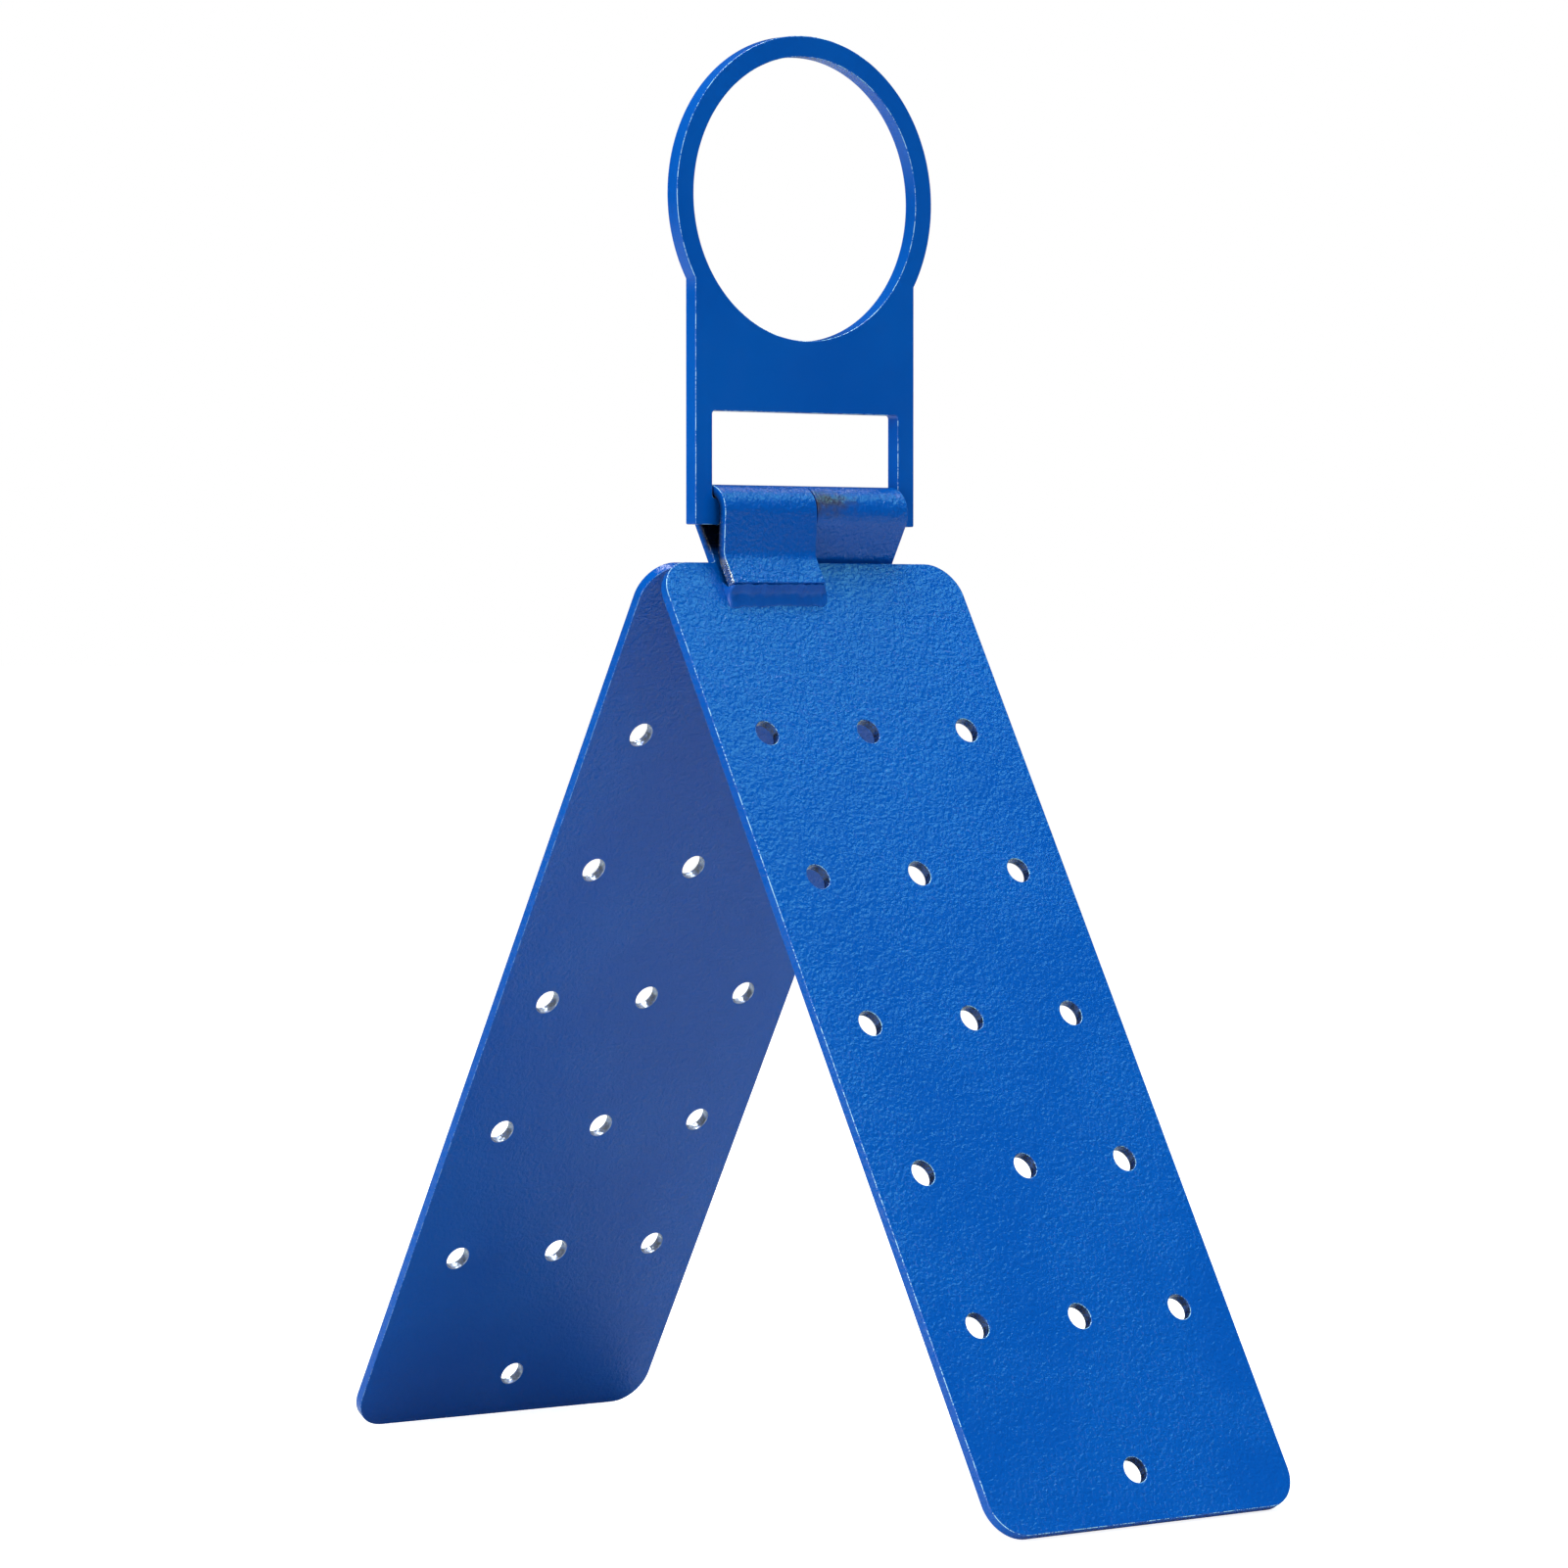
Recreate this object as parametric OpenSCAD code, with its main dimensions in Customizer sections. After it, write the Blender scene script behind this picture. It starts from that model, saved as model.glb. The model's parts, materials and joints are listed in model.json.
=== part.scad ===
// Hinged roof anchor: a ring plate whose bottom bar is the hinge pin of two drilled leg plates.
// The hinge runs along X. The front leg leans to -Y and the rear leg to +Y. Feet stand on Z = 0.
// Millimetres.

/* [Stance] */
// Lean of each leg from the vertical, in degrees
leg_lean = 30; // [30:1:60]

/* [Leg sheet] */
// Thickness of the leg sheet with its coating
leg_t = 2.8; // [2.4:0.1:3]
// Width of a leg
leg_w = 101.6; // [96:0.2:110]
// Length of a leg from its shoulder to its foot
leg_l = 280; // [275:1:320]
// Radius of a leg's four corners
leg_corner_r = 10; // [4:0.5:16]
// Distance down the leg from the hinge to the shoulder
shoulder_s = 13; // [13:0.5:16]

/* [Nail holes] */
// Diameter of a nail hole
hole_d = 7; // [4:0.5:9]
// Distance between the three columns of holes
hole_column_pitch = 34.2; // [30:0.1:36]
// Distance between the rows of holes
hole_row_pitch = 42.8; // [38:0.1:44]
// Full rows of three holes
hole_rows = 5; // [3:1:5]
// Distance from the shoulder to the first row
first_row_s = 52; // [40:1:54]

/* [Hinge loops] */
// Width of the neck that is rolled into a loop
loop_w = 31; // [28:0.1:31]
// Gap between the two loops
loop_gap = 0.8; // [0.6:0.1:1]
// Inside radius of a loop
loop_r = 4.4; // [4.3:0.05:4.5]
// How far past its top a loop runs before it goes straight, in degrees
loop_exit = 33; // [30:1:38]
// Radius of the middle of the return bend
return_r = 6; // [5:0.25:7]
// Gap between the tab and the leg under it
tab_gap = 1.5; // [1.2:0.1:1.8]
// Distance down the leg from the hinge to the end of the tab
tab_end_s = 21.8; // [20:0.1:22]

/* [Weld bead] */
// Length of the bead's foot on the leg, beyond the tab
weld_toe = 3; // [2:0.1:3.2]
// Height of the bead on the tab's end, measured from the leg
weld_h = 3.9; // [2:0.1:4.2]
// How far the bead reaches in under the tab
weld_root = 2.5; // [1:0.1:4]

/* [Ring plate] */
// Thickness of the ring plate
ring_t = 4.4; // [3.8:0.1:4.6]
// Diameter of the eye
eye_d = 76.2; // [60:0.2:80]
// Width of the band round the eye
band_w = 5.6; // [5:0.1:9]
// Height of the eye's centre above the hinge
eye_z = 84.2; // [83:0.1:95]
// Width of the neck below the eye
neck_w = 75; // [75:0.5:80]
// Width of the window
window_w = 63.8; // [63.8:0.1:65]
// Height of the window's top above the hinge
window_top = 26.8; // [26.5:0.1:30]
// Height of the bar that the loops turn on
bar_h = 7; // [6:0.1:7]

/* [Hidden] */
$fn = 96;
ring_blue = [0.05, 0.29, 0.65];
leg_blue = [0.14, 0.42, 0.78];
weld_blue = [0.12, 0.33, 0.66];
window_corner_r = 1;                          // inside corners of the window
overlap = 1;                                  // how far a flat stretch of a sheet runs into the next
seam = 0.6;                                   // how far a bend runs into the flat next to it, in degrees
loop_mid_r = loop_r + leg_t / 2;              // the middle of the sheet round the bar
tab_h = tab_gap + leg_t;                      // the middle of the tab above the middle of the leg
foot_s = shoulder_s + leg_l;                  // the foot's end, measured from the hinge
hinge_z = foot_s * cos(leg_lean) + (loop_mid_r + leg_t / 2) * sin(leg_lean);

// The loop's straight part: where it starts and ends, and the centre of the return bend after it.
exit_s = loop_mid_r * sin(loop_exit);
exit_h = loop_mid_r * (1 + cos(loop_exit));
return_h = tab_h + return_r * (1 - cos(loop_exit));
straight_l = (exit_h - return_h) / sin(loop_exit);
return_s = exit_s + straight_l * cos(loop_exit);
bend_s = return_s + return_r * sin(loop_exit);
bend_h = tab_h + return_r;

// A circular strip of sheet with its middle at radius r, from angle a0 to angle a1 (under 180 degrees).
module bend(r, a0, a1) {
    reach = 4 * (r + leg_t);
    mid = (a0 + a1) / 2;
    intersection() {
        difference() {
            circle(r = r + leg_t / 2);
            circle(r = r - leg_t / 2);
        }
        polygon([[0, 0], reach * [cos(a0), sin(a0)], reach * [cos(mid), sin(mid)], reach * [cos(a1), sin(a1)]]);
    }
}

// A straight strip of sheet that starts at the origin and runs along +X.
module strip(l) {
    translate([0, -leg_t / 2]) square([l, leg_t]);
}

// Side profile of the neck, the loop and the tab: X is the way down the leg, Y is the height above it.
module loop_profile() {
    strip(shoulder_s + overlap);
    translate([0, loop_mid_r]) {
        bend(loop_mid_r, 90 - loop_exit - seam, 165);
        bend(loop_mid_r, 164, 270 + seam);
    }
    translate([exit_s, exit_h]) rotate(-loop_exit) strip(straight_l);
    translate([bend_s, bend_h]) bend(return_r, 270 - loop_exit - seam, 270 + seam);
    translate([bend_s, tab_h]) strip(tab_end_s - bend_s);
}

// Side profile of the weld bead: a fillet on the tab's end, with its root in the gap under the tab.
module weld_profile() {
    translate([tab_end_s - weld_root, leg_t / 2]) square([weld_root + overlap, tab_gap]);
    translate([tab_end_s, leg_t / 2]) polygon([[0, 0], [weld_toe, 0], [0, weld_h]]);
}

// Outline of a leg's flat plate: X across, Y up the leg, with the hinge at the origin.
module leg_outline() {
    corner_x = leg_w / 2 - leg_corner_r;
    translate([-leg_w / 2, -foot_s + leg_corner_r]) square([leg_w, leg_l - 2 * leg_corner_r]);
    translate([-corner_x, -foot_s]) square([2 * corner_x, leg_l]);
    for (x = [-corner_x, corner_x], y = [-foot_s + leg_corner_r, -shoulder_s - leg_corner_r])
        translate([x, y]) circle(r = leg_corner_r);
}

// The nail holes: full rows of three, then one more hole in the middle column.
module nail_holes() {
    for (row = [0 : hole_rows], column = [-1 : 1])
        if (row < hole_rows || column == 0)
            translate([column * hole_column_pitch, -shoulder_s - first_row_s - row * hole_row_pitch])
                circle(d = hole_d, $fn = 48);
}

// Brings a leg's own axes (X across, Y up the leg, Z outward from its middle) to the front leg's place.
module at_front_leg() {
    translate([0, 0, hinge_z])
        rotate([90 - leg_lean, 0, 0])
            translate([0, 0, -loop_mid_r]) children();
}

// Extrudes a side profile, drawn down the leg, over the loop's width on the left half of the hinge.
module across_loop() {
    rotate([90, 0, 90])
        translate([0, 0, -loop_gap / 2 - loop_w])
            linear_extrude(height = loop_w) mirror([1, 0]) children();
}

module leg_plate() {
    at_front_leg() {
        translate([0, 0, -leg_t / 2])
            linear_extrude(height = leg_t)
                difference() {
                    leg_outline();
                    nail_holes();
                }
        across_loop() loop_profile();
    }
}

module loop_weld() {
    at_front_leg() across_loop() weld_profile();
}

module ring_plate() {
    color(ring_blue)
        translate([0, 0, hinge_z])
            rotate([90, 0, 0])
                translate([0, 0, -ring_t / 2])
                    linear_extrude(height = ring_t)
                        difference() {
                            union() {
                                translate([0, eye_z]) circle(d = eye_d + 2 * band_w, $fn = 180);
                                translate([-neck_w / 2, -bar_h / 2]) square([neck_w, eye_z - eye_d / 4 + bar_h / 2]);
                            }
                            translate([0, eye_z]) circle(d = eye_d, $fn = 180);
                            window();
                        }
}

// The window over the bar, with small round corners.
module window() {
    half_w = window_w / 2;
    difference() {
        translate([-half_w, bar_h / 2]) square([window_w, window_top - bar_h / 2]);
        for (side = [-1, 1], z = [bar_h / 2, window_top])
            translate([side * half_w, z]) inside_corner(-side, z > bar_h ? -1 : 1);
    }
}

// What a round inside corner leaves in a square one; sx and sz point into the window.
module inside_corner(sx, sz) {
    difference() {
        square(2 * window_corner_r, center = true);
        translate([sx * window_corner_r, sz * window_corner_r]) circle(r = window_corner_r, $fn = 32);
    }
}

module front_leg_plate() {
    color(leg_blue) leg_plate();
}

module front_loop_weld() {
    color(weld_blue) loop_weld();
}

module rear_leg_plate() {
    color(leg_blue) rotate(180) leg_plate();
}

module rear_loop_weld() {
    color(weld_blue) rotate(180) loop_weld();
}

ring_plate();
front_leg_plate();
front_loop_weld();
rear_leg_plate();
rear_loop_weld();
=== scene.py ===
"""Looks of the hinged roof anchor: a blue powder-coated ring plate and two drilled leg plates.

The sheets are built flat, with rounded edges, and then bent. Sizes are in millimetres until make_piece.
A leg has its own coordinates: u across it, s down it from the hinge, h outward from its middle plane.
On the flat blank, q is the distance along the sheet: q = s on the leg, and negative in the loop and the tab.
"""

import json
import math

import bpy
import numpy as np
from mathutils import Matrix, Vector
from mathutils.geometry import delaunay_2d_cdt


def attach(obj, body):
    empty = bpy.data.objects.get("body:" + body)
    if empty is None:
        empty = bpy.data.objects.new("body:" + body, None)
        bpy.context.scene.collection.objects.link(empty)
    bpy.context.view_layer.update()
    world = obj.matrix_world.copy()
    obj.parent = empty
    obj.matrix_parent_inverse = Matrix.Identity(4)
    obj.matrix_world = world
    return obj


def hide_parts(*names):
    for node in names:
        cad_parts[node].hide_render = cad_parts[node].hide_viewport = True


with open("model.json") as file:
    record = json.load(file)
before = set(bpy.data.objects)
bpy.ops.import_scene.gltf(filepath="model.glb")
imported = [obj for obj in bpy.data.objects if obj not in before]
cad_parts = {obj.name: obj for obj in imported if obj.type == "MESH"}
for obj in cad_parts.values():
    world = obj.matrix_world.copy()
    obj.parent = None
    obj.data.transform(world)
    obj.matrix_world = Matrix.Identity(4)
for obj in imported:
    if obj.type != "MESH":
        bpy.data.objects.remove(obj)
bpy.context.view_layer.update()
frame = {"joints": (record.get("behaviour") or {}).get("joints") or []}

# Sizes of the model, in millimetres. The loops' gap and the weld's toe differ a little from the CAD's.
LEAN = math.radians(30)
LEG_T = 2.8
LEG_W = 101.6
SHOULDER_S = 13.0                    # from the hinge to the leg's shoulder
FOOT_S = 293.0
CORNER_R = 10.0
HOLE_R = 3.5
HOLE_COLUMNS = 34.2
HOLE_ROWS = 42.8
FULL_ROWS = 5
FIRST_HOLE_S = 65.0
LOOP_LEFT, LOOP_RIGHT = -31.4, -0.14
LOOP_MID_R = 5.8
LOOP_EXIT = math.radians(33)
RETURN_R = 6.0
TAB_H = 4.3
TAB_END_S = 21.8
WELD_TOE, WELD_H, WELD_ROOT = 5.0, 4.1, 2.5
RING_T = 4.4
EYE_R = 38.1
BAND_R = 43.7
EYE_Z = 84.2
NECK_HALF = 37.5
BAR_HALF_H = 3.5
WINDOW_HALF = 31.9
WINDOW_TOP = 26.8

# How the sheets are made
LEG_EDGE_R = 0.3                     # rounding of the coated edges
RING_EDGE_R = 0.25
EDGE_STEPS = 4                       # steps in each quarter round
ARC_STEP = 0.9                       # longest step along a round outline
LINE_STEP = 4.0                      # longest step along a straight outline
LEG_GRID_GAP = 0.25                  # how far the inner points stay from a leg's outlines
RING_GRID_GAP = 1.2
RING_FOOT_R = 0.45                   # the ring plate's lower corners
HINGE = Vector(frame["joints"][0]["pos_m"]) * 1000


# ---------------------------------------------------------------- outlines
def straight(a, b, step):
    """Points from a up to, but not including, b."""
    a, b = np.array(a, float), np.array(b, float)
    count = max(1, math.ceil(np.linalg.norm(b - a) / step))
    return [a + (b - a) * k / count for k in range(count)]


def arc(centre, radius, start, end, step=ARC_STEP):
    """Points round a centre from one angle to another, both ends included."""
    count = max(6, math.ceil(abs(end - start) * radius / step))
    angles = [start + (end - start) * k / count for k in range(count + 1)]
    return [np.array([centre[0] + radius * math.cos(t), centre[1] + radius * math.sin(t)]) for t in angles]


def circle(centre, radius, step=0.5):
    """A hole's outline, clockwise."""
    return arc(centre, radius, 2 * math.pi, 0, step)[:-1]


def rounded(corners, step=LINE_STEP):
    """A closed outline with an arc of its own radius at each corner: [(x, y, radius), ...]."""
    points, count = [], len(corners)
    spots = [np.array(c[:2], float) for c in corners]
    ends = []
    for k, (x, y, radius) in enumerate(corners):
        before, after = spots[k - 1] - spots[k], spots[(k + 1) % count] - spots[k]
        before, after = before / np.linalg.norm(before), after / np.linalg.norm(after)
        half = math.acos(np.clip(before @ after, -1, 1)) / 2
        run = radius / math.tan(half)
        middle = (before + after) / np.linalg.norm(before + after)
        centre = spots[k] + middle * radius / math.sin(half)
        first, last = spots[k] + before * run, spots[k] + after * run
        a0 = math.atan2(*(first - centre)[::-1])
        a1 = math.atan2(*(last - centre)[::-1])
        turn = (a1 - a0 + math.pi) % (2 * math.pi) - math.pi
        ends.append(arc(centre, radius, a0, a0 + turn))
    for k in range(count):
        points += ends[k][:-1]
        points += straight(ends[k][-1], ends[(k + 1) % count][0], step)
    return points


def sideways(points):
    """For each point of a closed outline, the step to its left that moves both neighbouring sides by 1."""
    p = np.array(points)
    ahead = np.roll(p, -1, 0) - p
    ahead /= np.linalg.norm(ahead, axis=1)[:, None]
    left = np.stack([-ahead[:, 1], ahead[:, 0]], 1)
    both = left + np.roll(left, 1, 0)
    both /= np.linalg.norm(both, axis=1)[:, None]
    return both / np.sum(both * left, 1)[:, None]


def inside(points, outline):
    """True for each point inside a closed outline."""
    p, o = np.array(points), np.array(outline)
    found = np.zeros(len(p), bool)
    for (x0, y0), (x1, y1) in zip(o, np.roll(o, -1, 0)):
        if y0 != y1:
            crosses = (y0 > p[:, 1]) != (y1 > p[:, 1])
            found ^= crosses & (p[:, 0] < (x1 - x0) * (p[:, 1] - y0) / (y1 - y0) + x0)
    return found


# ---------------------------------------------------------------- sheets
def cap(loops, grid):
    """Triangles that fill the first loop and leave the others open, through the grid's points."""
    rim = [tuple(p) for loop in loops for p in loop]
    sides, start = [], 0
    for loop in loops:
        count = len(loop)
        sides += [(start + k, start + (k + 1) % count) for k in range(count)]
        start += count
    spots = [Vector(p) for p in rim + [tuple(g) for g in grid]]
    verts, _, faces, origin, _, _ = delaunay_2d_cdt(spots, sides, [], 0, 1e-6)
    index = [o[0] for o in origin]
    middles = [sum((verts[i] for i in f), Vector((0, 0))) / 3 for f in faces]
    keep = inside(middles, loops[0])
    for loop in loops[1:]:
        keep &= ~inside(middles, loop)
    return [[index[i] for i in f] for f, k in zip(faces, keep) if k]


def clear_of(points, loops, gap):
    """Leaves out the points that are outside the first loop, in a hole, or near an outline."""
    kept = inside(points, loops[0])
    for loop in loops[1:]:
        kept &= ~inside(points, loop)
    rim = np.array([p for loop in loops for p in loop])
    for k, p in enumerate(points):
        if kept[k] and np.min(np.sum((rim - p) ** 2, 1)) < gap * gap:
            kept[k] = False
    return [p for p, k in zip(points, kept) if k]


def flat_sheet(outlines, thickness, edge_r, grid, gap):
    """A sheet with quarter-round edges: points, normals, faces, and which outline and edge turn they have.

    Outlines run with the sheet on their left. Heights run from +thickness / 2 to -thickness / 2."""
    turns = [math.pi / 2 * k / EDGE_STEPS for k in range(EDGE_STEPS + 1)]
    half = thickness / 2
    profile = [(edge_r * (1 - math.sin(t)), half - edge_r * (1 - math.cos(t)), t) for t in turns]
    profile += [(inset, -height, math.pi - t) for inset, height, t in reversed(profile)]
    points, normals, facts, rings = [], [], [], []
    for number, outline in enumerate(outlines):
        left = sideways(outline)
        unit = left / np.linalg.norm(left, axis=1)[:, None]
        p = np.array(outline)
        for inset, height, turn in profile:
            rings.append((len(points), len(p)))
            spots = p + left * inset
            points += [(x, y, height) for x, y in spots]
            normals += [(-n[0] * math.sin(turn), -n[1] * math.sin(turn), math.cos(turn)) for n in unit]
            facts += [(number, turn)] * len(p)
    faces = []
    across = len(profile)
    for number in range(len(outlines)):
        for k in range(across - 1):
            (top, count), (low, _) = rings[number * across + k], rings[number * across + k + 1]
            for i in range(count):
                j = (i + 1) % count
                faces.append((top + j, top + i, low + i, low + j))
    for ring, height, up in ((0, half, 1), (across - 1, -half, -1)):
        starts = [rings[number * across + ring] for number in range(len(outlines))]
        loops = [[points[s + i][:2] for i in range(count)] for s, count in starts]
        inner = clear_of(grid, loops, gap)
        where = [s + i for s, count in starts for i in range(count)]
        where += range(len(points), len(points) + len(inner))
        points += [(x, y, height) for x, y in inner]
        normals += [(0, 0, up)] * len(inner)
        facts += [(-1, 0.0)] * len(inner)
        for a, b, c in cap(loops, inner):
            faces.append((where[a], where[b], where[c]) if up > 0 else (where[c], where[b], where[a]))
    return np.array(points, float), np.array(normals, float), faces, facts


def make_piece(name, points, normals, faces, marks):
    """A smooth mesh object in metres. marks holds one number for each vertex under each name."""
    mesh = bpy.data.meshes.new(name)
    mesh.from_pydata((np.array(points) / 1000).tolist(), [], [tuple(f) for f in faces])
    mesh.polygons.foreach_set("use_smooth", [True] * len(mesh.polygons))
    for label, values in marks.items():
        mesh.attributes.new(label, "FLOAT", "POINT").data.foreach_set("value", [float(v) for v in values])
    mesh.validate()
    if normals is not None:
        normals = normals / np.linalg.norm(normals, axis=1)[:, None]
        mesh.normals_split_custom_set_from_vertices(normals.tolist())
    piece = bpy.data.objects.new(name, mesh)
    bpy.context.scene.collection.objects.link(piece)
    return piece


def edge_marks(facts):
    """Marks for the coat: 1 on the crest of an outer edge's rounding, and 1 on the wall of a hole."""
    edge = [math.sin(turn) ** 2 if number >= 0 else 0 for number, turn in facts]
    crest = [4 * e * (1 - e) for e in edge]
    wall = [1 if number > 0 and e > 0.5 else 0 for (number, turn), e in zip(facts, edge)]
    return {"crest": crest, "wall": wall}


# ---------------------------------------------------------------- the bent leg
LOOP_TURN = 3 * math.pi / 2 - (math.pi / 2 - LOOP_EXIT)
LOOP_L = LOOP_MID_R * LOOP_TURN
EXIT = np.array([math.sin(LOOP_EXIT), 1 + math.cos(LOOP_EXIT)]) * LOOP_MID_R
RETURN_START_H = TAB_H + RETURN_R * (1 - math.cos(LOOP_EXIT))
STRAIGHT_L = (EXIT[1] - RETURN_START_H) / math.sin(LOOP_EXIT)
BEND_S = EXIT[0] + STRAIGHT_L * math.cos(LOOP_EXIT) + RETURN_R * math.sin(LOOP_EXIT)
BEND_L = RETURN_R * LOOP_EXIT
TAB_L = TAB_END_S - BEND_S
STRIP_L = LOOP_L + STRAIGHT_L + BEND_L + TAB_L


def sheet_path(q):
    """Where the sheet's middle is at q, measured down the leg from under the hinge: place, way down, out."""
    run = -q
    if run <= 0:
        return np.array([q, 0.0]), np.array([1.0, 0.0]), np.array([0.0, 1.0])
    if run <= LOOP_L:
        angle = 3 * math.pi / 2 - run / LOOP_MID_R
        ray = np.array([math.cos(angle), math.sin(angle)])
        return np.array([0, LOOP_MID_R]) + ray * LOOP_MID_R, np.array([-ray[1], ray[0]]), -ray
    run -= LOOP_L
    along = np.array([math.cos(LOOP_EXIT), -math.sin(LOOP_EXIT)])
    if run <= STRAIGHT_L:
        return EXIT + along * run, -along, np.array([along[1], -along[0]])
    run -= STRAIGHT_L
    if run <= BEND_L:
        angle = 3 * math.pi / 2 - LOOP_EXIT + run / RETURN_R
        ray = np.array([math.cos(angle), math.sin(angle)])
        centre = np.array([BEND_S, TAB_H + RETURN_R])
        return centre + ray * RETURN_R, np.array([ray[1], -ray[0]]), ray
    run -= BEND_L
    return np.array([BEND_S + run, TAB_H]), np.array([-1.0, 0.0]), np.array([0.0, -1.0])


DOWN = np.array([0, -math.sin(LEAN), -math.cos(LEAN)])
OUT = np.array([0, -math.cos(LEAN), math.sin(LEAN)])
ACROSS = np.array([1.0, 0, 0])


def leg_place(u, s, h):
    """A place in the front leg's coordinates, in the frame's axes."""
    return np.array(HINGE) + u * ACROSS + s * DOWN + (h - LOOP_MID_R) * OUT


def bend_leg(points, normals):
    """Bends a flat leg's points and normals (u, q, h) along the path and stands it on its slope."""
    placed, turned = [], []
    for (u, q, h), (nu, nq, nh) in zip(points, normals):
        middle, down, out = sheet_path(q)
        s, height = middle + out * h
        placed.append(leg_place(u, s, height))
        ns, nheight = down * nq + out * nh
        turned.append(nu * ACROSS + ns * DOWN + nheight * OUT)
    return np.array(placed), np.array(turned)


def strip_stations():
    """The places along the strip, from the leg to the tab's end, where its mesh has a row."""
    stops = [SHOULDER_S, 0, -LOOP_L, -LOOP_L - STRAIGHT_L, -LOOP_L - STRAIGHT_L - BEND_L, -STRIP_L]
    steps = [1.2, 0.45, 1.0, 0.45, 0.8]
    stations = []
    for first, last, step in zip(stops, stops[1:], steps):
        stations += [float(p[0]) for p in straight((first, 0), (last, 0), step)]
    return stations + [-STRIP_L]


def leg_outline(stations):
    """The flat blank of a leg, anticlockwise seen from outside with u to the right and q downward."""
    half, inner_r, tab_r = LEG_W / 2, 0.8, 0.5
    corners = [
        (half, FOOT_S, CORNER_R), (half, SHOULDER_S, CORNER_R),
        (LOOP_RIGHT, SHOULDER_S, inner_r), (LOOP_RIGHT, -STRIP_L, tab_r),
        (LOOP_LEFT, -STRIP_L, tab_r), (LOOP_LEFT, SHOULDER_S, inner_r),
        (-half, SHOULDER_S, CORNER_R), (-half, FOOT_S, CORNER_R),
    ]
    outline = []
    for point in rounded(corners):
        on_side = min(abs(point[0] - LOOP_LEFT), abs(point[0] - LOOP_RIGHT)) < 1e-6
        if not (on_side and -STRIP_L + tab_r + 0.1 < point[1] < SHOULDER_S - inner_r - 0.1):
            outline.append(point)
    rows = [q for q in stations if -STRIP_L + tab_r + 0.2 < q < SHOULDER_S - inner_r - 0.2]
    return with_rows(with_rows(outline, LOOP_RIGHT, rows), LOOP_LEFT, rows[::-1])


def with_rows(outline, u, rows):
    """Puts the rows into the longest side of the outline that runs along u."""
    def side_length(k):
        a, b = outline[k], outline[(k + 1) % len(outline)]
        on_side = abs(a[0] - u) < 1e-6 and abs(b[0] - u) < 1e-6
        return abs(a[1] - b[1]) if on_side else 0
    longest = max(range(len(outline)), key=side_length)
    return outline[:longest + 1] + [np.array([u, q]) for q in rows] + outline[longest + 1:]


def hole_places():
    """The nail holes' centres (u, q): full rows of three, and one more in the middle column."""
    places = []
    for row in range(FULL_ROWS + 1):
        columns = (-1, 0, 1) if row < FULL_ROWS else (0,)
        places += [(column * HOLE_COLUMNS, FIRST_HOLE_S + row * HOLE_ROWS) for column in columns]
    return places


def leg_mesh():
    """Points, normals, faces and marks of the front leg."""
    stations = strip_stations()
    outline = leg_outline(stations)
    holes = [circle(place, HOLE_R) for place in hole_places()]
    columns = np.linspace(LOOP_LEFT + 0.5, LOOP_RIGHT - 0.5, 22)
    grid = [(u, q) for q in stations for u in columns]
    rows = np.arange(SHOULDER_S + 2, FOOT_S, 5.0)
    grid += [(u, q) for q in rows for u in np.arange(-LEG_W / 2 + 2.8, LEG_W / 2, 5.05)]
    # q points down, so the blank is built in (u, -q) and turned back.
    upright = [turned_to(up_from_down(outline), True)]
    upright += [turned_to(up_from_down(hole), False) for hole in holes]
    points, normals, faces, facts = flat_sheet(upright, LEG_T, LEG_EDGE_R, up_from_down(grid), LEG_GRID_GAP)
    points[:, 1] *= -1
    normals[:, 1] *= -1
    marks = edge_marks(facts)
    marks["bare"] = [bare_end(u, q, fact) for (u, q, h), fact in zip(points, facts)]
    # Painted shade: near-black on the loop's inner face, in the pocket between the neck and the tab.
    marks["loop_inside_shade"] = [min(1, max(0, (SHOULDER_S - 1 - q) / 4)) if h > 0 else 0 for u, q, h in points]
    marks["rolled"] = [min(1, max(0, (SHOULDER_S - q) / 2)) for u, q, h in points]
    near_gap = [abs(u - LOOP_RIGHT) < 1 and q < SHOULDER_S - 2 for u, q, h in points]
    marks["crest"] = [c * (0.45 if near else 1) for c, near in zip(marks["crest"], near_gap)]
    marks["crest"] = [c if q > -STRIP_L + 0.6 else 0 for c, (u, q, h) in zip(marks["crest"], points)]
    placed, turned = bend_leg(points, normals)
    return placed, turned, faces, marks


def bare_end(u, q, fact):
    """1 where the cut side of the tab has lost its coat, at its left lower end."""
    number, turn = fact
    on_cut_side = number == 0 and u < LOOP_LEFT + LEG_EDGE_R + 0.1 and 0.3 < turn < math.pi - 0.3
    return min(1, max(0, (-q - STRIP_L + TAB_L + 2) / 4)) if on_cut_side else 0


def up_from_down(places):
    """Places (u, q) as (u, -q)."""
    return [np.array([u, -q]) for u, q in places]


def turned_to(loop, anticlockwise):
    """The closed outline, running the way that is asked for."""
    p = np.array(loop)
    after = np.roll(p, -1, 0)
    area = float(np.sum(p[:, 0] * after[:, 1] - after[:, 0] * p[:, 1])) / 2
    return loop if (area > 0) == anticlockwise else loop[::-1]


# ---------------------------------------------------------------- weld bead
def weld_section(toe, height):
    """The bead's face, from the tab's top edge down to its toe: (s beyond the tab's end, h above the leg)."""
    steep = [(0.03, 1.0), (0.30, 0.86), (0.72, 0.66), (1.12, 0.47), (1.42, 0.355)]
    ramp = [(0.12, 0.31), (0.30, 0.255), (0.48, 0.20), (0.66, 0.145)]
    ramp += [(0.84, 0.08), (0.95, 0.03), (1.0, -0.04)]
    run = toe - steep[-1][0]
    return [(s, h * height) for s, h in steep + [(steep[-1][0] + run * t, h) for t, h in ramp]]


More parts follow.
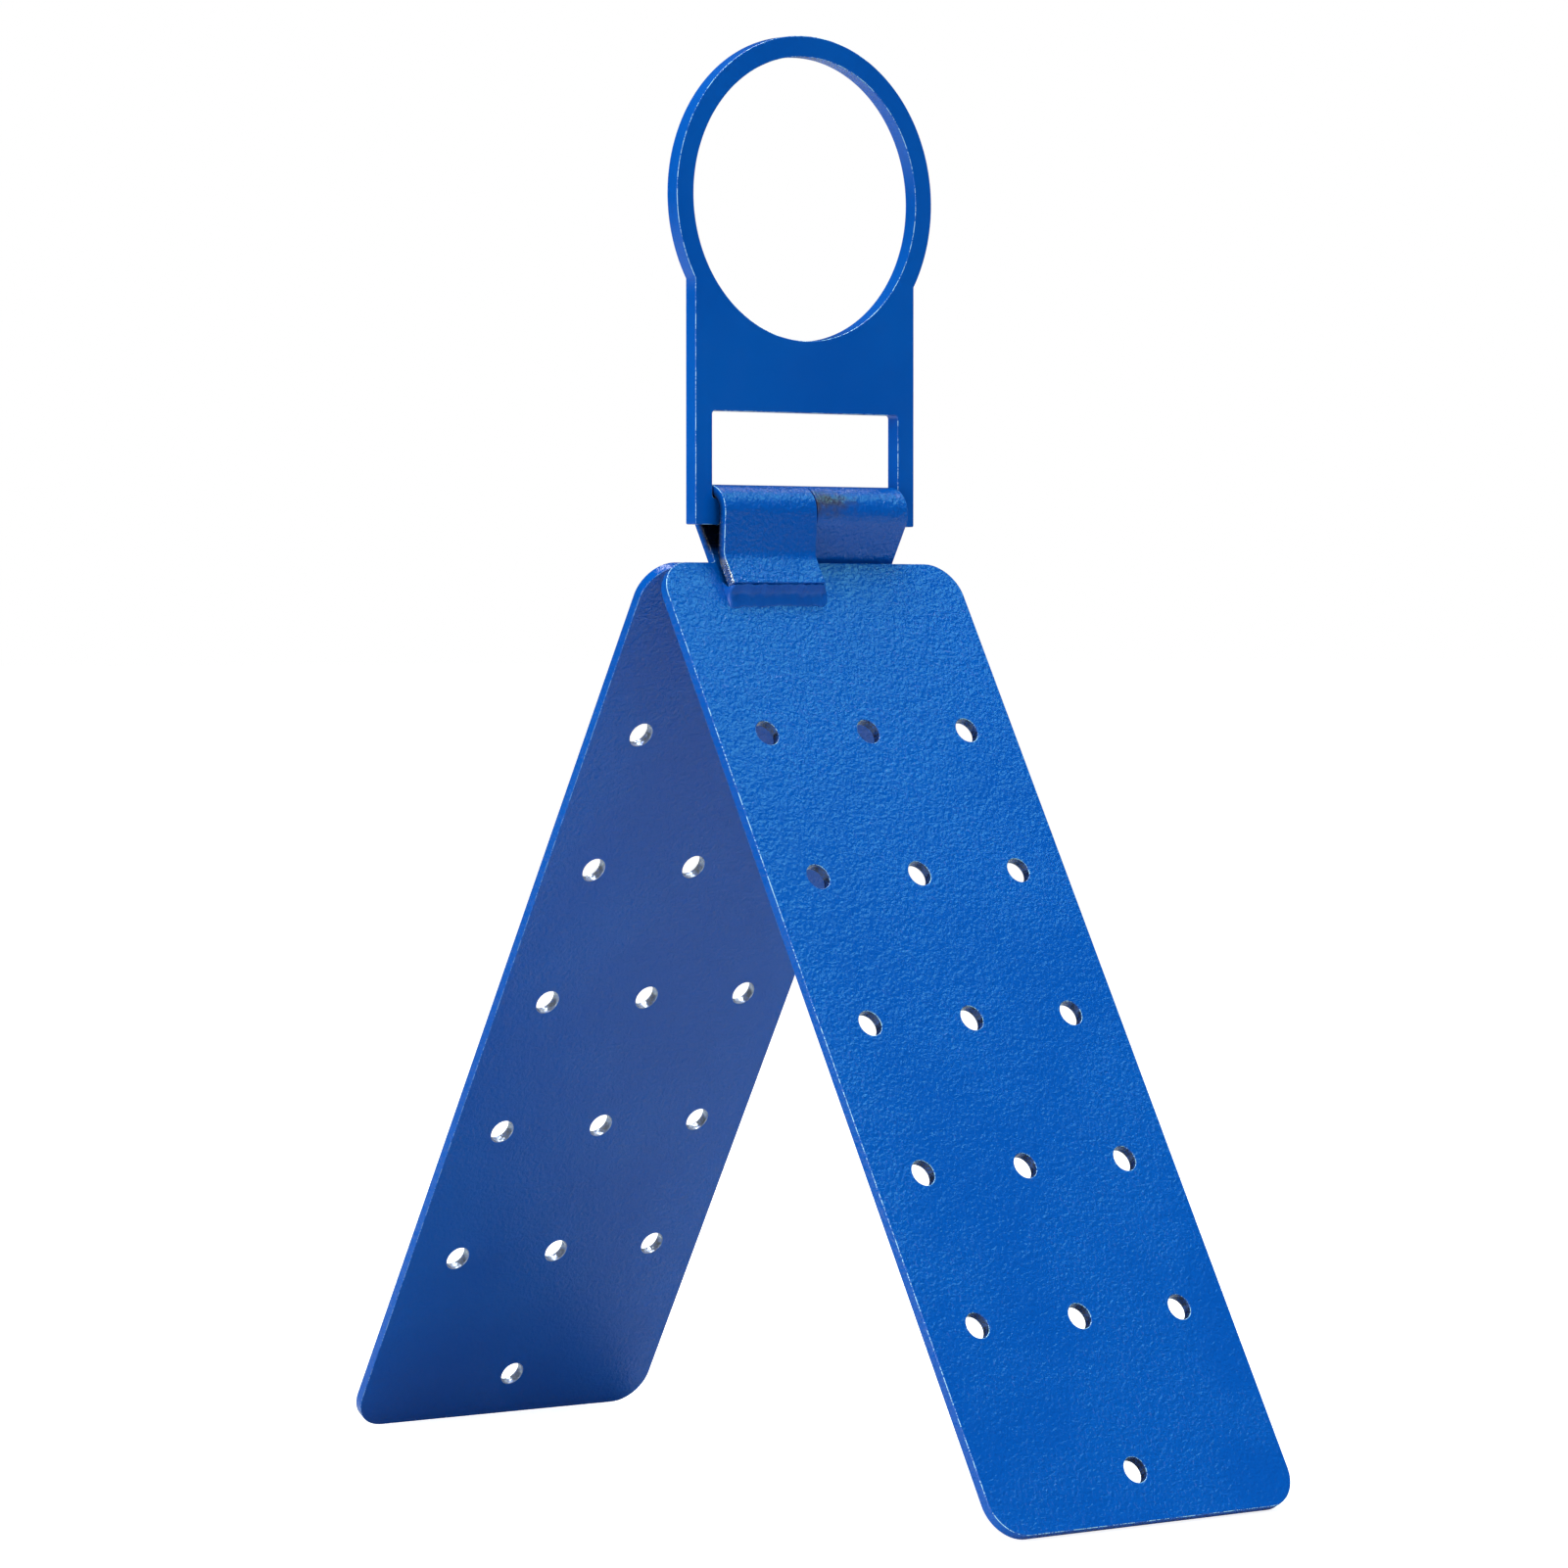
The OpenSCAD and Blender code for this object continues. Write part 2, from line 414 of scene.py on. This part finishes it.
WELD_SEED = 7
WELD_STEP = 0.35                     # between the bead's sections
WELD_RUN_ON, WELD_RUN_BEFORE = 1.9, 0.25    # how far the bead passes the tab's right and left side


def weld_mesh():
    """The bead that closes the loop: a steep wavy face, a ramp with a ragged toe, and a short run-on."""
    rng = np.random.default_rng(WELD_SEED)
    step, run_on, run_before = WELD_STEP, WELD_RUN_ON, WELD_RUN_BEFORE
    us = np.arange(LOOP_LEFT - run_before, LOOP_RIGHT + run_on + step / 2, step)
    toe_noise = smooth_noise(rng, len(us), 4) * 0.34 + smooth_noise(rng, len(us), 13) * 0.45
    top_noise = smooth_noise(rng, len(us), 4) * 0.22 + smooth_noise(rng, len(us), 9) * 0.20
    wave = smooth_noise(rng, len(us), 5) * 0.22 + smooth_noise(rng, len(us), 2) * 0.07
    points, faces = [], []
    base = LEG_T / 2
    for k, u in enumerate(us):
        past = max(0, u - LOOP_RIGHT, LOOP_LEFT - u)
        low = max(0.55, 1 - past / 0.5) if past else 1
        shrink = math.sqrt(max(0.04, 1 - (past / run_on) ** 2))
        toe = (WELD_TOE + toe_noise[k]) * shrink
        height = (WELD_H + top_noise[k]) * low
        root = TAB_END_S - WELD_ROOT * shrink
        section = [(root, base - 0.1), (root, base + 0.2), (TAB_END_S - 0.3, base + min(1.4, height * 0.9))]
        section += [(TAB_END_S + s, base + h) for s, h in weld_section(toe, height)]
        bulge = 0.3 + wave[k]
        for s, h in section:
            hook = max(0, u - LOOP_RIGHT) * (0.9 * max(0, s - TAB_END_S) / toe - 0.4)
            points.append(leg_place(u + hook, s + (bulge if h > base + 1.2 and s > TAB_END_S else 0), h))
    size = len(section)
    for k in range(len(us) - 1):
        for j in range(size):
            a, b = k * size + j, k * size + (j + 1) % size
            faces.append((a, b, b + size, a + size))
    faces.append(tuple(range(size))[::-1])
    faces.append(tuple(range((len(us) - 1) * size, len(us) * size)))
    return np.array(points), faces


def smooth_noise(rng, count, width):
    """Random values between about -1 and 1 that change over about this many steps."""
    knots = rng.uniform(-1, 1, count // width + 3)
    return np.interp(np.arange(count) / width, np.arange(len(knots)), knots)


# ---------------------------------------------------------------- ring plate
def ring_mesh():
    """Points, normals, faces and marks of the ring plate, standing in the frame's XZ plane."""
    shoulder_z = EYE_Z - math.sqrt(BAND_R ** 2 - NECK_HALF ** 2)
    turn = math.atan2(shoulder_z - EYE_Z, NECK_HALF)
    corner_r, low_z = RING_FOOT_R, -BAR_HALF_H
    outline = straight((NECK_HALF, low_z + corner_r), (NECK_HALF, shoulder_z), LINE_STEP)
    outline += arc((0, EYE_Z), BAND_R, turn, math.pi - turn)
    outline += straight((-NECK_HALF, shoulder_z), (-NECK_HALF, low_z + corner_r), LINE_STEP)[1:]
    outline += arc((-NECK_HALF + corner_r, low_z + corner_r), corner_r, math.pi, 1.5 * math.pi)
    outline += straight((-NECK_HALF + corner_r, low_z), (NECK_HALF - corner_r, low_z), LINE_STEP)[1:]
    outline += arc((NECK_HALF - corner_r, low_z + corner_r), corner_r, -math.pi / 2, 0)[:-1]
    eye = circle((0, EYE_Z), EYE_R, 0.9)
    window = rounded([
        (-WINDOW_HALF, BAR_HALF_H, 1), (-WINDOW_HALF, WINDOW_TOP, 1),
        (WINDOW_HALF, WINDOW_TOP, 1), (WINDOW_HALF, BAR_HALF_H, 1),
    ])
    spread = [(x, z) for z in np.arange(0, 130, 4.0) for x in np.arange(-42, 43, 4.0)]
    outlines = [outline, eye, window]
    points, normals, faces, facts = flat_sheet(outlines, RING_T, RING_EDGE_R, spread, RING_GRID_GAP)
    marks = edge_marks(facts)
    marks["wall"] = [0] * len(points)
    marks["bare"] = marks["loop_inside_shade"] = marks["rolled"] = [0] * len(points)
    stand = np.array([[1, 0, 0], [0, 0, 1], [0, -1, 0]], float)
    return points @ stand + np.array(HINGE), normals @ stand, faces, marks


# ---------------------------------------------------------------- materials
class Nodes:
    """A short way to write a material's nodes."""

    def __init__(self, name):
        self.material = bpy.data.materials.new(name)
        self.material.use_nodes = True
        self.tree = self.material.node_tree
        self.shader = self.tree.nodes["Principled BSDF"]

    def add(self, kind, settings=None, **inputs):
        """A node. Each input is a number, a colour or another node's output, and _0 is input 0."""
        made = self.tree.nodes.new("ShaderNode" + kind)
        for key, value in (settings or {}).items():
            setattr(made, key, value)
        for key, value in inputs.items():
            socket = int(key[1:]) if key[0] == "_" else key.replace("_", " ")
            self.put(made.inputs[socket], value)
        return made

    def put(self, socket, value):
        """Links an output to a socket, or sets the socket to a value."""
        if isinstance(value, bpy.types.NodeSocket):
            self.tree.links.new(value, socket)
        else:
            socket.default_value = value

    def math(self, operation, a, b=0.0):
        return self.add("Math", {"operation": operation, "use_clamp": False}, _0=a, _1=b).outputs[0]

    def noise(self, where, scale, detail=2.0, distortion=0.0):
        return self.add("TexNoise", None, Vector=where, Scale=scale, Detail=detail,
                        Distortion=distortion).outputs["Fac"]

    def between(self, value, low, high, a=0.0, b=1.0):
        """Maps value from low..high to a..b, smoothly and clamped."""
        made = self.add("MapRange", {"interpolation_type": "SMOOTHSTEP"}, Value=value, From_Min=low,
                        From_Max=high, To_Min=a, To_Max=b)
        return made.outputs[0]

    def mix(self, share, a, b):
        made = self.add("MixRGB", None, Fac=share, Color1=a, Color2=b)
        return made.outputs[0]

    def mark(self, label):
        return self.add("Attribute", {"attribute_name": label}).outputs["Fac"]


def srgb(red, green, blue):
    """A screen colour from 0 to 255 as the linear colour that nodes take."""
    def linear(c):
        c /= 255
        return c / 12.92 if c <= 0.04045 else ((c + 0.055) / 1.055) ** 2.4
    return (linear(red), linear(green), linear(blue), 1.0)


COAT_BLUE = srgb(1, 88, 183)
COAT_DEEP = srgb(0, 84, 179)
COAT_GLOSS = 0.335                   # specular level
# Pale edge speckle: partly rubbed coat, partly a painted highlight on the rounded edges.
SCUFF_GLINT_PALE = srgb(176, 232, 246)
BARE_STEEL = srgb(196, 204, 206)
# Hole walls: steel darkened into painted shade (front leg and ring) and lightened into a painted highlight
# (rear leg).
WALL_PAINTED_SHADE = srgb(64, 76, 98)
WALL_PAINTED_HIGHLIGHT = srgb(176, 186, 196)
STAIN_OLIVE = srgb(70, 60, 38)
STAIN_FROM_HINGE = (0.0020, -0.0066, 0.0030)
STAIN_SQUEEZE = (0.36, 1.0, 1.0)     # the stain is wider along the hinge
# Near-black painted shade inside the loops, in the pocket between the neck and the tab.
LOOP_INSIDE_PAINTED_SHADE = srgb(8, 14, 26)


def coat(name, shift, peel_scale, peel_height, roughness, scuff_glint_most, wall_tone_painted_light, stain=None):
    """Blue powder coat with orange peel, pale speckle on the edges that is partly rubbed coat and partly a
    painted highlight, steel in the holes, and near-black painted shade inside the loops.

    shift moves the pattern, peel_scale and peel_height set the orange peel (per metre, and in metres); the
    argument after roughness is the most pale speckle that an edge gets, the next is the holes' steel colour,
    darkened into painted shade on the front leg and lightened into a painted highlight on the rear leg, and
    stain is the centre of a stain."""
    n = Nodes(name)
    here = n.add("TexCoord").outputs["Object"]
    where = n.add("Mapping", None, Vector=here, Location=(shift, shift * 0.7, shift * 0.3)).outputs[0]
    patches = n.noise(where, 26, 2)
    peel = n.noise(where, peel_scale, 2.0, 0.4)
    swell = n.noise(where, peel_scale / 4, 1)
    lively = n.between(patches, 0.38, 0.60, 0.65, 1.0)
    height = n.math("ADD", n.math("MULTIPLY", peel, lively), n.math("MULTIPLY", swell, 0.5))
    height = n.math("MULTIPLY", height, n.between(n.mark("rolled"), 0, 1, 1.0, 1.4))
    colour = n.mix(n.between(patches, 0.35, 0.65), COAT_DEEP, COAT_BLUE)
    speckle = n.noise(where, 2300, 3)
    runs = n.noise(where, 260, 2)
    chance = n.math("ADD", n.math("MULTIPLY", speckle, 0.6), n.math("MULTIPLY", runs, 0.5))
    # Pale speckle on the edges' crests: partly rubbed coat, partly a painted highlight.
    scuff_glint_share = n.math("MULTIPLY", n.between(chance, 0.53, 0.58, 0, scuff_glint_most), n.between(n.mark("crest"), 0.4, 0.9))
    colour = n.mix(scuff_glint_share, colour, SCUFF_GLINT_PALE)
    # Hole walls take the given steel colour: painted shade on the front leg, a painted highlight on the rear
    # leg.
    wall_noise = n.noise(where, 1500, 3)
    wall = n.math("MULTIPLY", n.mark("wall"), n.between(wall_noise, 0.35, 0.62, 0.45, 1.0))
    colour = n.mix(wall, colour, wall_tone_painted_light)
    # Painted shade: near-black inside the loops.
    colour = n.mix(n.mark("loop_inside_shade"), colour, LOOP_INSIDE_PAINTED_SHADE)
    bare = n.math("MULTIPLY", n.between(n.mark("bare"), 0.1, 0.9), n.between(speckle, 0.36, 0.5))
    colour = n.mix(bare, colour, BARE_STEEL)
    if stain:
        offset = n.add("VectorMath", {"operation": "SUBTRACT"}, _0=here, _1=stain).outputs[0]
        offset = n.add("VectorMath", {"operation": "MULTIPLY"}, _0=offset, _1=STAIN_SQUEEZE).outputs[0]
        away = n.add("VectorMath", {"operation": "LENGTH"}, _0=offset).outputs["Value"]
        blotch = n.math("ADD", away, n.math("MULTIPLY", n.noise(where, 420, 3), 0.006))
        colour = n.mix(n.between(blotch, 0.0030, 0.0085, 0.85, 0.0), colour, STAIN_OLIVE)
    metal = n.math("MAXIMUM", bare, n.math("MULTIPLY", wall, 0.7))
    bump = n.add("Bump", None, Strength=1.0, Distance=peel_height, Height=height)
    n.put(n.shader.inputs["Base Color"], colour)
    n.put(n.shader.inputs["Metallic"], metal)
    n.put(n.shader.inputs["Roughness"], n.between(swell, 0.3, 0.7, roughness - 0.03, roughness + 0.04))
    n.put(n.shader.inputs["Normal"], bump.outputs[0])
    n.shader.inputs["Specular IOR Level"].default_value = COAT_GLOSS
    return n.material


WELD_BUMP = 0.00018                  # height of the bead's grain, in metres


def weld_coat():
    """The same blue over the rough, rippled bead."""
    n = Nodes("weld_coat")
    where = n.add("TexCoord").outputs["Object"]
    grain = n.noise(where, 700, 3, 0.4)
    lumps = n.noise(where, 230, 2)
    height = n.math("ADD", n.math("MULTIPLY", grain, 0.5), lumps)
    colour = n.mix(n.between(lumps, 0.35, 0.65), COAT_DEEP, COAT_BLUE)
    n.put(n.shader.inputs["Base Color"], colour)
    n.put(n.shader.inputs["Roughness"], n.between(grain, 0.3, 0.7, 0.3, 0.42))
    bump = n.add("Bump", None, Strength=1.0, Distance=WELD_BUMP, Height=height)
    n.put(n.shader.inputs["Normal"], bump.outputs[0])
    n.shader.inputs["Specular IOR Level"].default_value = COAT_GLOSS
    return n.material


def floor_paper():
    """Pale paper that the camera sees brighter than the lights make it, so that it reads as white."""
    n = Nodes("floor_paper")
    tone = n.noise(n.add("TexCoord").outputs["Object"], 3, 2)
    n.put(n.shader.inputs["Base Color"], n.mix(tone, (0.70, 0.70, 0.70, 1), (0.72, 0.72, 0.72, 1)))
    n.shader.inputs["Roughness"].default_value = 0.9
    n.shader.inputs["Specular IOR Level"].default_value = 0.1
    n.shader.inputs["Emission Color"].default_value = (1, 1, 1, 1)
    seen = n.add("LightPath").outputs["Is Camera Ray"]
    n.put(n.shader.inputs["Emission Strength"], n.math("MULTIPLY", seen, FLOOR_GLOW))
    return n.material


# ---------------------------------------------------------------- pieces on their bodies
def finish_piece(piece, material, body, node):
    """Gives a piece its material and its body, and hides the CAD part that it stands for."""
    piece.data.materials.append(material)
    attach(piece, body)
    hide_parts(node)


def half_turn(points):
    """Turns places or directions by half a turn about the vertical."""
    return np.array(points) * np.array([-1, -1, 1])


def add_ring():
    points, normals, faces, marks = ring_mesh()
    piece = make_piece("ring_plate_sheet", points, normals, faces, marks)
    material = coat("ring_coat", 0.0, 520, 0.00003, 0.17, 1.0, WALL_PAINTED_SHADE)
    finish_piece(piece, material, "ring", "ring_plate")


def add_legs():
    points, normals, faces, marks = leg_mesh()
    stain = (STAIN_FROM_HINGE[0], STAIN_FROM_HINGE[1], HINGE.z / 1000 + STAIN_FROM_HINGE[2])
    # The two legs are one part: the rear's pale hole walls are a painted highlight, the front's dark ones
    # painted shade, and the rear's pale edge speckle, partly a painted highlight, is weaker.
    looks = {
        "front": coat("leg_coat_front", 0.0, 880, 0.00034, 0.16, 1.0, WALL_PAINTED_SHADE),
        "rear": coat("leg_coat_rear", 1.3, 880, 0.00030, 0.16, 0.3, WALL_PAINTED_HIGHLIGHT, stain),
    }
    for side, material in looks.items():
        turned = (lambda p: p) if side == "front" else half_turn
        own_marks = dict(marks) if side == "front" else dict(marks, bare=[0] * len(points))
        piece = make_piece(side + "_leg_sheet", turned(points), turned(normals), faces, own_marks)
        finish_piece(piece, material, side + "_leg", side + "_leg_plate")


def add_welds():
    points, faces = weld_mesh()
    material = weld_coat()
    for side in ("front", "rear"):
        places = points if side == "front" else half_turn(points)
        piece = make_piece(side + "_weld_bead", places, None, faces, {})
        finish_piece(piece, material, side + "_leg", side + "_loop_weld")


# ---------------------------------------------------------------- camera, floor and lights
CAMERA_FROM_HINGE = Vector((-1.028, -1.290, -0.031))
CAMERA_YAW, CAMERA_PITCH = math.radians(38.39), math.radians(-1.46)
LENS = 140.5
SENSOR = 36.0
FLOOR_GLOW = 0.85
SKY = 0.054                          # the world's strength as a light


def add_camera():
    """The photograph's view: from the front left, a little above half height, with a long lens."""
    lens = bpy.data.cameras.new("camera")
    lens.lens, lens.sensor_width = LENS, SENSOR
    lens.clip_start, lens.clip_end = 0.05, 100
    camera = bpy.data.objects.new("camera", lens)
    bpy.context.scene.collection.objects.link(camera)
    camera.location = HINGE / 1000 + CAMERA_FROM_HINGE
    camera.rotation_euler = (math.pi / 2 + CAMERA_PITCH, 0, -CAMERA_YAW)
    bpy.context.scene.camera = camera


def add_floor():
    mesh = bpy.data.meshes.new("floor")
    half, drop = 30.0, -0.0004
    corners = [(-half, -half, drop), (half, -half, drop), (half, half, drop), (-half, half, drop)]
    mesh.from_pydata(corners, [], [(0, 1, 2, 3)])
    floor = bpy.data.objects.new("floor", mesh)
    bpy.context.scene.collection.objects.link(floor)
    floor.data.materials.append(floor_paper())


def add_world():
    """White to the camera, and dim as a light."""
    world = bpy.data.worlds.new("studio")
    bpy.context.scene.world = world
    world.use_nodes = True
    tree = world.node_tree
    backdrop = tree.nodes["Background"]
    backdrop.inputs["Color"].default_value = (1, 1, 1, 1)
    path = tree.nodes.new("ShaderNodeLightPath")
    level = tree.nodes.new("ShaderNodeMapRange")
    level.inputs["To Min"].default_value = SKY
    level.inputs["To Max"].default_value = 1.0
    tree.links.new(path.outputs["Is Camera Ray"], level.inputs["Value"])
    tree.links.new(level.outputs["Result"], backdrop.inputs["Strength"])


# name: (place it shines from, seen from the middle of the object, in metres; width; power in watts; colour)
SOFT_BOXES = {
    "haze_box": ((0.95, -0.55, 1.60), 0.8, 7.3, (0.29, 1.0, 0.95)),
    "right_box": ((1.30, 0.45, 1.50), 0.8, 3.2, (1.0, 1.0, 1.0)),
    "top_box": ((0.10, 0.0, 1.50), 0.8, 22.0, (1.0, 1.0, 1.0)),
    "left_box": ((-1.70, -0.10, 0.35), 0.9, 21.0, (1.0, 1.0, 1.0)),
}
FRONT_SUN = ((-0.10, -0.75, 0.65), 50, 0.88)     # place, angle in degrees, strength


def add_lights():
    centre = Vector((0, 0, HINGE.z / 2000))
    for name, (place, width, power, colour) in SOFT_BOXES.items():
        light = bpy.data.lights.new(name, "AREA")
        light.size, light.energy, light.color = width, power, colour
        aim_light(name, light, centre + Vector(place), place)
    place, angle, strength = FRONT_SUN
    light = bpy.data.lights.new("front_sun", "SUN")
    light.angle, light.energy = math.radians(angle), strength
    aim_light("front_sun", light, centre + Vector(place), place)


def aim_light(name, light, place, away):
    lamp = bpy.data.objects.new(name, light)
    bpy.context.scene.collection.objects.link(lamp)
    lamp.location = place
    lamp.rotation_euler = Vector(away).to_track_quat("Z", "Y").to_euler()


bpy.context.scene.view_settings.view_transform = "Standard"
add_camera()
add_ring()
add_legs()
add_welds()
add_floor()
add_world()
add_lights()

bpy.context.view_layer.update()
